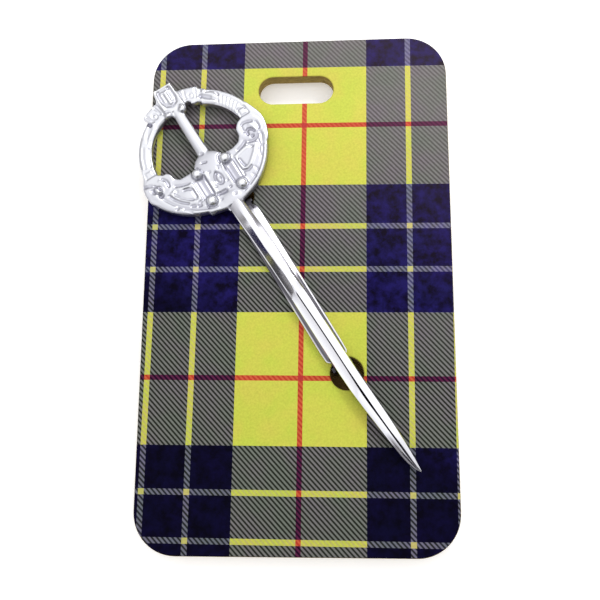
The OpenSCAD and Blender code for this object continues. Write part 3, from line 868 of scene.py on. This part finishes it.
# %% Strokes in the middle
MIDDLE = [
    *both(0.28, -0.4, [(4.2, -5.6), (4.2, -9.6)]),
    *both(0.25, -0.35, [(4.75, -5.5), (4.75, -9.6)]),
    *both(1.3, -0.45, [(3.15, -6.3), (3.15, -9.1)]),
    *both(0.3, -0.45, [(2.3, -5.4), (2.35, -9.8)]),
    *both(0.45, 0.25, [(1.85, -5.2), (1.85, -9.6)]),
    *ring(0.38, -0.5, 0.05, -7.5, 0.68, 1.1),
    (0.35, -0.4, [(0.05, -6.1), (0.1, -6.1)]),
    (0.45, -0.3, [(-1.0, -5.4), (-0.95, -5.4)]),
    (0.4, -0.25, [(-1.3, -8.6), (-1.25, -8.6)]),
    (0.4, -0.25, [(1.3, -8.6), (1.25, -8.6)]),
    (0.25, -0.3, [(0.95, -5.6), (1.1, -5.3), (1.4, -5.3), (1.6, -5.7)]),
    (0.55, -0.6, [(-1.6, -10.2), (-1.5, -10.2)]),
    (0.6, -0.7, [(-0.85, -10.3), (-0.1, -10.35)]),
    (0.35, -0.45, [(1.1, -10.1), (1.2, -10.1)]),
    (0.35, -0.4, [(-1.2, -2.95), (-0.5, -3.2)]),
    (0.5, -0.45, [(-0.35, -1.15), (-0.25, -1.15)]),
    (0.4, -0.45, [(-2.2, -4.7), (-2.35, -3.9), (-2.8, -3.3)]),
    (0.4, -0.45, [(1.8, -4.8), (1.9, -4.0), (2.3, -3.3), (2.9, -3.1)]),
    (0.3, -0.4, [(4.2, -3.6), (4.3, -4.2)]),
    (0.3, -0.45, [(-4.6, -10.8), (-4.65, -11.5)]),
    (0.7, -0.55, [(-1.0, -13.9), (-0.4, -14.0)]),
    (0.4, -0.25, [(-1.75, -11.4), (-1.65, -11.4)]),
    (0.5, -0.3, [(1.15, -11.9), (1.25, -11.9)]),
]
STROKES = TOP_BLOCK + SHOULDERS + CARTOUCHES + BAND + TERMINALS + PANELS + MIDDLE
print(len(STROKES), "strokes in all")

# %% [markdown]
# Every stroke moves the points near it down or up, most in its middle and none at its edge. Only what faces
# up moves, so the walls of the openings stay upright. How far a point went down sets its painted shade, and
# a raised point gets a painted highlight. That number goes into the mesh for the finish to read. The walls
# and the lower half get painted shade, and the tops of the balls a painted highlight.

# %% Cut the strokes
DEEP_CUT = 0.5  # mm
STROKE_SPREAD, STROKE_SOFT = 0.9, 0.13  # reach to each side: a part of the width, and mm that wear adds
HIGHLIGHT_HEIGHT, HIGHLIGHT_RANGE = 2.2, 0.3  # mm over the casting's back where the painted highlight starts, and until it is complete
# What adds to a point's painted shade: the plain plate, the lower half, a wall, a cut and a high top, whose
# negative value is a painted highlight
PLAIN, LOWER_HALF_SHADE, WALL_SHADE, CUT_SHADING, TOP_HIGHLIGHT = 0.2, 0.2, 0.3, 0.5, -0.4


def distance_to(points, x, y):
    """The distance of each place to the nearest stretch of a stroke."""
    nearest = np.full(len(x), 99.0)
    for (a, b), (c, d) in zip(points, points[1:]):
        along = np.clip(((x - a) * (c - a) + (y - b) * (d - b)) / ((c - a) ** 2 + (d - b) ** 2), 0.0, 1.0)
        nearest = np.minimum(nearest, np.hypot(x - a - along * (c - a), y - b - along * (d - b)))
    return nearest


def averaged(values, ends, passes):
    """Each point's value, mixed half and half with the mean of its neighbours."""
    counts = np.bincount(ends.ravel(), minlength=len(values))
    for _ in range(passes):
        total = np.bincount(ends[:, 0], values[ends[:, 1]], len(values))
        total += np.bincount(ends[:, 1], values[ends[:, 0]], len(values))
        values = (values + total / counts) / 2
    return values


def write_hollow(form, values):
    """Puts the painted shade of each point into the form, for the finish to read."""
    layer = form.verts.layers.float.new("hollow")
    for vert, value in zip(form.verts, values):
        vert[layer] = value


head.normal_update()
head.verts.ensure_lookup_table()
# Facing up counts from 0 on a wall to 1 on the front, and walls only below the plate's top
places = np.array([vert.co for vert in head.verts])
facing_up = np.clip((np.array([vert.normal.z for vert in head.verts]) - 0.3) / 0.4, 0.0, 1.0)
lift = np.zeros(len(places))
for width, depth, points in STROKES:
    reach = STROKE_SPREAD * width + STROKE_SOFT
    nearness = np.clip(distance_to(points, places[:, 0], places[:, 1] - STROKE_UP) / reach, 0.0, 1.0)
    lift += depth * (1.0 - nearness**2) ** 2
places[:, 2] += DEEP_CUT * np.clip(lift, -2.0, 1.0) * facing_up
for vert, place in zip(head.verts, places):
    vert.co = place
relax(head, 1, 0.3)

ends = np.array([[vert.index for vert in edge.verts] for edge in head.edges])
# Painted shade on walls, grooves and the lower half, and a painted highlight on ridges and high tops
highlit = np.clip((places[:, 2] - HIGHLIGHT_HEIGHT) / HIGHLIGHT_RANGE, 0.0, 1.0)
walls = (1.0 - facing_up) * np.clip((2.0 - places[:, 2]) / 0.4, 0.0, 1.0)
hollows = PLAIN + LOWER_HALF_SHADE * np.clip((3.0 - places[:, 1]) / 6.0, 0.0, 1.0)
hollows += WALL_SHADE * walls - CUT_SHADING * lift * facing_up + TOP_HIGHLIGHT * highlit
hollows = np.clip(averaged(hollows, ends, 2), 0.0, 1.0)
write_hollow(head, hollows)
print("hollow points:", int((hollows > 0.5).sum()), "of", len(hollows))

# %% [markdown]
# ## The blade
# The blade is cast with the head. Near the head it is a ridge with a small lip on its left. Further down
# it turns into two wide flat bevels with a groove between them, which widens and then runs out at the
# tip. Its edges stay crisp, which a remesh would melt, so it is drawn as a skin through a few sections,
# each with the same points from its left edge to its right edge.

# %% Blade
# Columns: distance from the head, left edge, inner edge of the lip, left end of the crown, groove, its
# depth, right end of the crown, right edge, height of the lip, of the crown and of the right edge
BLADE_ROWS = [
    (11.5, -1.50, -1.25, -0.35, 0.50, 0.00, 1.15, 1.60, 1.10, 1.60, 1.10),
    (14.0, -1.40, -1.16, -0.10, 0.50, 0.00, 1.20, 1.65, 1.20, 1.95, 1.45),
    (17.0, -1.30, -1.06, 0.10, 0.55, 0.00, 1.15, 1.90, 0.80, 2.05, 1.46),
    (20.0, -1.12, -0.88, 0.15, 0.62, 0.00, 1.15, 2.10, 0.45, 2.05, 1.46),
    (24.0, -0.96, -0.72, 0.20, 0.70, 0.00, 1.20, 2.22, 0.40, 2.05, 1.46),
    (28.0, -0.82, -0.60, 0.40, 0.80, 0.00, 1.40, 2.30, 0.40, 2.05, 1.47),
    (31.0, -0.77, -0.55, 0.62, 0.85, 0.00, 1.80, 2.35, 0.40, 2.00, 1.48),
    (33.2, -0.75, -0.45, 0.62, 0.80, 0.02, 2.05, 2.42, 0.45, 1.95, 1.45),
    (34.4, -0.75, -0.30, 0.40, 0.70, 0.15, 2.15, 2.44, 0.80, 1.90, 1.42),
    (35.4, -0.75, -0.55, 0.25, 0.66, 0.30, 2.25, 2.46, 1.42, 1.86, 1.42),
    (37.0, -0.74, -0.62, 0.22, 0.70, 0.35, 2.30, 2.47, 1.45, 1.84, 1.42),
    (42.0, -0.73, -0.62, 0.38, 0.84, 0.35, 2.30, 2.48, 1.45, 1.84, 1.42),
    (47.0, -0.73, -0.62, 0.45, 0.92, 0.35, 2.32, 2.50, 1.45, 1.84, 1.42),
    (52.0, -0.72, -0.61, 0.48, 0.96, 0.35, 2.36, 2.54, 1.45, 1.84, 1.42),
    (56.0, -0.60, -0.49, 0.55, 1.00, 0.40, 2.46, 2.64, 1.42, 1.82, 1.40),
    (58.0, -0.46, -0.35, 0.58, 1.04, 0.50, 2.52, 2.70, 1.40, 1.80, 1.38),
    (60.0, -0.30, -0.19, 0.66, 1.12, 0.50, 2.60, 2.78, 1.38, 1.78, 1.36),
    (63.0, 0.00, 0.11, 0.85, 1.30, 0.50, 2.70, 2.87, 1.32, 1.72, 1.32),
    (66.0, 0.27, 0.40, 1.05, 1.48, 0.45, 2.74, 2.90, 1.22, 1.64, 1.26),
    (69.0, 0.58, 0.95, 1.30, 1.72, 0.40, 2.72, 2.88, 0.95, 1.50, 1.15),
    (71.0, 0.84, 1.20, 1.50, 1.86, 0.32, 2.70, 2.84, 0.75, 1.36, 1.02),
    (72.5, 1.12, 1.50, 1.74, 1.98, 0.25, 2.66, 2.78, 0.60, 1.20, 0.90),
    (74.0, 1.60, 1.88, 2.02, 2.16, 0.12, 2.56, 2.66, 0.45, 0.90, 0.70),
    (75.1, 2.28, 2.32, 2.36, 2.40, 0.00, 2.48, 2.52, 0.30, 0.45, 0.40),
]
BLADE_SHIFT = 0.1  # the whole blade lies a little to the right of the measured places
EDGE_IN, EDGE_DOWN = 0.06, 0.1  # how far the long edges are rounded, across and down
GROOVE_SLOPE = 0.05  # width of the rounding on each side of the groove
# The painted shade of each point of a section, which paints the dark reflections along the blade: under the
# head, further down, where the left side is steepest, along the groove, where it is widest, and at the point
NECK_TINTS = (0.5, 0.7, 0.7, 0.7, 0.45, 0.3, 0.2, 0.2, 0.2, 0.2, 0.3, 0.4, 0.5, 0.5)
HEAD_TINTS = (0.4, 0.35, 0.35, 0.5, 0.2, 0.1, 0.0, 0.0, 0.1, 0.2, 0.45, 0.66, 0.8, 0.5)
STEEP_TINTS = (0.4, 0.2, 0.2, 0.75, 0.5, 0.0, 0.0, 0.0, 0.0, 0.05, 0.4, 0.62, 0.8, 0.5)
GROOVE_TINTS = (0.3, 0.25, 0.0, 0.0, 0.35, 0.4, 0.6, 1.0, 0.5, 0.0, 0.0, 0.0, 0.4, 0.4)
TIP_TINTS = (0.6, 0.4, 0.4, 0.2, 0.0, 0.0, 0.9, 1.0, 0.9, 0.0, 0.0, 0.0, 0.4, 0.4)
POINT_TINTS = (0.8, 0.8, 0.8, 0.75, 0.4, 0.4, 0.8, 0.9, 0.4, 0.35, 0.3, 0.2, 0.4, 0.4)


def groove_half(away):
    """Half the groove's width, which is greatest where the blade starts to narrow and near its point."""
    widest = min(abs(away - 58.5), abs(away - 71.0))
    return 0.1 + 0.11 * max(0.0, 1.0 - widest / 6.0)


def blade_tints(away):
    zones = ((15.0, NECK_TINTS), (26.0, HEAD_TINTS), (34.8, STEEP_TINTS))
    zones += ((57.0, GROOVE_TINTS), (68.5, TIP_TINTS))
    return next((tints for end, tints in zones if away < end), POINT_TINTS)


blade = bmesh.new()
sections = []
for away, left, lip, crown_l, groove, deep, crown_r, right, lip_z, crown_z, right_z in BLADE_ROWS:
    half = min(groove_half(away), (crown_r - groove) / 3, (groove - crown_l) / 2)
    brink = crown_z - min(0.03, deep / 4)
    profile = [(left, 0.0), (left, lip_z - EDGE_DOWN), (left + EDGE_IN, lip_z), (lip, lip_z + 0.02)]
    profile += [(crown_l, crown_z - EDGE_IN), (groove - half - GROOVE_SLOPE, crown_z)]
    profile += [(groove - half, brink), (groove, crown_z - deep), (groove + half, brink)]
    profile += [(groove + half + GROOVE_SLOPE, crown_z)]
    profile += [(crown_r, (crown_z * 2 + right_z) / 3), (right - EDGE_IN, right_z)]
    profile += [(right, right_z - EDGE_DOWN), (right, 0.0)]
    sections.append([(x + BLADE_SHIFT, -away, z) for x, z in profile])
loft(blade, sections)
write_hollow(blade, [tint for row in BLADE_ROWS for tint in blade_tints(row[0])])
print("blade:", len(blade.faces), "faces")

# %% [markdown]
# Head and blade go into one mesh, because they are one casting. It is turned and set where the solid
# model has it. The blade's faces get the bright buffed finish. The melted head is shaded smooth all over,
# since a casting has no crisp edges, and the blade keeps its own.

# %% Set the casting in place
for face in head.faces:
    face.material_index = 0
for face in blade.faces:
    face.material_index = 1
add_form(head, blade)
on_pin = Matrix.Translation((PIN_X, PIN_Y, PIN_Z)) @ Matrix.Rotation(PIN_TURN, 4, "Z")
casting = finish_piece("kilt_pin_casting", head, [cast, buffed], 30.0, on_pin, soft=(0,))
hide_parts("pin_front")
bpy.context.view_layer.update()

# %% [markdown]
# ## The bar behind the pin
# A strip of plated steel lies flat on the card under the blade. A dark line of painted shade runs along each
# side of the blade there, for the blade's dark reflection in the bar, and the bar's edges are rolled down to
# thin bright rims. A bevelled block would have the same edge all round, so the strip is a skin through one
# section, narrower towards both ends. The ends are bent down through the holes. The upper one has two ears
# that hold the needle's rivet, and the lower one the slit that catches the needle.

# %% Bar
BAR_HALF, BAR_LONG, CORNER = 2.425, 17.6, 1.2  # half its width and its length, radius of its corners
TONGUE_HALF, TAB_HALF, TAB_OUT = 1.6, 2.1, 19.35  # half the widths of the bent ends, and their reach


def bar_section(half, y):
    """Flat under the blade, rolled down at both sides, with a thin rim along each edge."""
    right = [(0.0, BAR_T), (1.2, BAR_T), (half - 0.75, 0.82), (half - 0.4, 0.62), (half - 0.25, 0.58)]
    right += [(half - 0.08, 0.56), (half, 0.46), (half, 0.0)]
    left = [(-x, z) for x, z in reversed(right[1:])]
    return [(x, y, BAR_Z + z) for x, z in left + right]


# The painted shade of the points of a section, in its left half and from its middle to the right edge.
# Towards the head the left half is painted dark, and the other one is bright up to the bar's end, where
# painted shade stands for the head's shadow
LEFT_TINTS = (0.4, 0.4, 0.4, 0.6, 0.85, 0.8, 0.7)
RIGHT_TINTS = (0.0, 0.5, 0.9, 0.95, 0.5, 0.1, 0.3, 0.3)
SHADED_LEFT = (0.85, 0.85, 0.85, 0.85, 0.9, 0.9, 0.8)
BRIGHT_RIGHT, SHADED_RIGHT = (0.05,) * len(RIGHT_TINTS), (0.88,) * len(RIGHT_TINTS)
SHADED_LEFT_FROM, BRIGHT_FROM, SHADE_FROM = -2.0, 2.0, 15.5  # places along the bar
# The bent ends are painted dark all over, as painted shade in the holes
TONGUE_SHADE = 0.95


def bar_tints(y):
    left = SHADED_LEFT if y > SHADED_LEFT_FROM else LEFT_TINTS
    if y <= BRIGHT_FROM:
        return left + RIGHT_TINTS
    return left + (SHADED_RIGHT if y > SHADE_FROM else BRIGHT_RIGHT)


bar = bmesh.new()
corner_steps = [math.radians(angle) for angle in (90, 67, 45, 22)]
round_y, round_x = BAR_LONG - CORNER, BAR_HALF - CORNER
ends = [(round_y + CORNER * math.sin(a), round_x + CORNER * math.cos(a)) for a in corner_steps]
middle = [(y, BAR_HALF) for y in (15.0, 10.0, 5.0, 0.0, -5.0, -10.0, -15.0)]
rows = ends + middle + [(-y, half) for y, half in reversed(ends)]
loft(bar, [bar_section(half, y) for y, half in rows])
strip_tints = [tint for y, half in rows for tint in bar_tints(y)]
print("strip of the bar:", len(bar.verts), "points")

# %% [markdown]
# The bent ends lie in the two holes and behind the card, where hardly any of them shows. They are plain
# steel tabs: a tongue that bends down into each hole, then at the upper hole a tab with two ears, and at
# the lower one a flat plate with a slit. Their edges are broken a little, as on any cut steel.

# %% Bent ends
INTO_BAR = 0.02  # mm that a bent end lies inside the strip, so that no two faces fall together
BROKEN = 0.12  # mm that a cut edge is bevelled
EAR_X, EAR_T, EAR_TOP = 1.2, 0.7, CARD_Z + 1.4
NEEDLE_Z, RIVET_R, EYE_Y = 1.35, 0.45, HOLE_OFF + 0.2  # height of the needle's axis, rivet, rivet's place
SLIT_LOW, SLIT_HIGH, SLIT_END = 0.6, 2.1, -0.75


def block(form, low, high):
    """A block between two corners, with its edges broken."""
    middle = [(a + b) / 2 for a, b in zip(low, high)]
    size = [b - a for a, b in zip(low, high)]
    matrix = Matrix.Translation(middle) @ Matrix.Diagonal((*size, 1.0))
    made = bmesh.ops.create_cube(form, size=1.0, matrix=matrix)
    edges = {edge for vert in made["verts"] for edge in vert.link_edges}
    bmesh.ops.bevel(form, geom=[*edges], offset=BROKEN, segments=2, profile=0.5, affect="EDGES", material=-1)


def bent_tongue(form, side):
    """The tongue that runs on from the bar and bends down into its hole."""
    sections = []
    bend_y = TAB_OUT - BAR_T
    for y, z_turn in ((BAR_LONG - 1.0, 0), (bend_y, 0), (bend_y, 30), (bend_y, 60), (bend_y, 90)):
        a = math.radians(z_turn)
        outer = (y + BAR_T * math.sin(a), BAR_Z + BAR_T * math.cos(a) - INTO_BAR)
        inner = (y - INTO_BAR * math.sin(a), BAR_Z - INTO_BAR * math.cos(a))
        left = [(-TONGUE_HALF, side * along, z) for along, z in (inner, outer)]
        right = [(TONGUE_HALF, side * along, z) for along, z in (outer, inner)]
        sections.append(left + right)
    loft(form, sections)


bent_tongue(bar, 1)
bent_tongue(bar, -1)
tab_y = TAB_OUT - BAR_T
ear_end = EYE_Y + RIVET_R + 0.45
block(bar, (-TAB_HALF, tab_y, CARD_Z), (TAB_HALF, TAB_OUT, BAR_Z))
for x in (-EAR_X, EAR_X):
    block(bar, (x - EAR_T / 2, tab_y, 0.0), (x + EAR_T / 2, ear_end, EAR_TOP))
rivet_turn = Matrix.Translation((0.0, EYE_Y, NEEDLE_Z)) @ Matrix.Rotation(math.radians(90), 4, "Y")
bmesh.ops.create_cone(
    bar, cap_ends=True, segments=32, radius1=RIVET_R, radius2=RIVET_R, depth=3.0, matrix=rivet_turn
)

catch = [(-TAB_HALF, 0.0), (TAB_HALF, 0.0), (TAB_HALF, SLIT_LOW), (SLIT_END, SLIT_LOW)]
catch += [(SLIT_END, SLIT_HIGH), (TAB_HALF, SLIT_HIGH), (TAB_HALF, BAR_Z), (-TAB_HALF, BAR_Z)]
catch_face = bar.faces.new([bar.verts.new((x, -TAB_OUT, z)) for x, z in catch])
done = bmesh.ops.extrude_face_region(bar, geom=[catch_face], use_keep_orig=True)
catch_verts = [part for part in done["geom"] if isinstance(part, bmesh.types.BMVert)]
bmesh.ops.translate(bar, vec=(0.0, BAR_T, 0.0), verts=catch_verts)
write_hollow(bar, strip_tints + [TONGUE_SHADE] * (len(bar.verts) - len(strip_tints)))
on_card = Matrix.Translation((BAR_X, BAR_Y, 0.0)) @ Matrix.Rotation(BAR_TURN, 4, "Z")
bar_piece = finish_piece("plated_back_bar", bar, [buffed], 30.0, on_card)
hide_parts("back_bar")

# %% [markdown]
# ## The needle
# The needle is a straight drawn wire with an eye round the rivet and a ground point. The solid model has
# its true shape, so it stays and gets the finish of steel wire.

# %% Needle
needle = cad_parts["needle"]
needle.data.materials.clear()
needle.data.materials.append(steel)
print("needle keeps", len(needle.data.polygons), "faces")
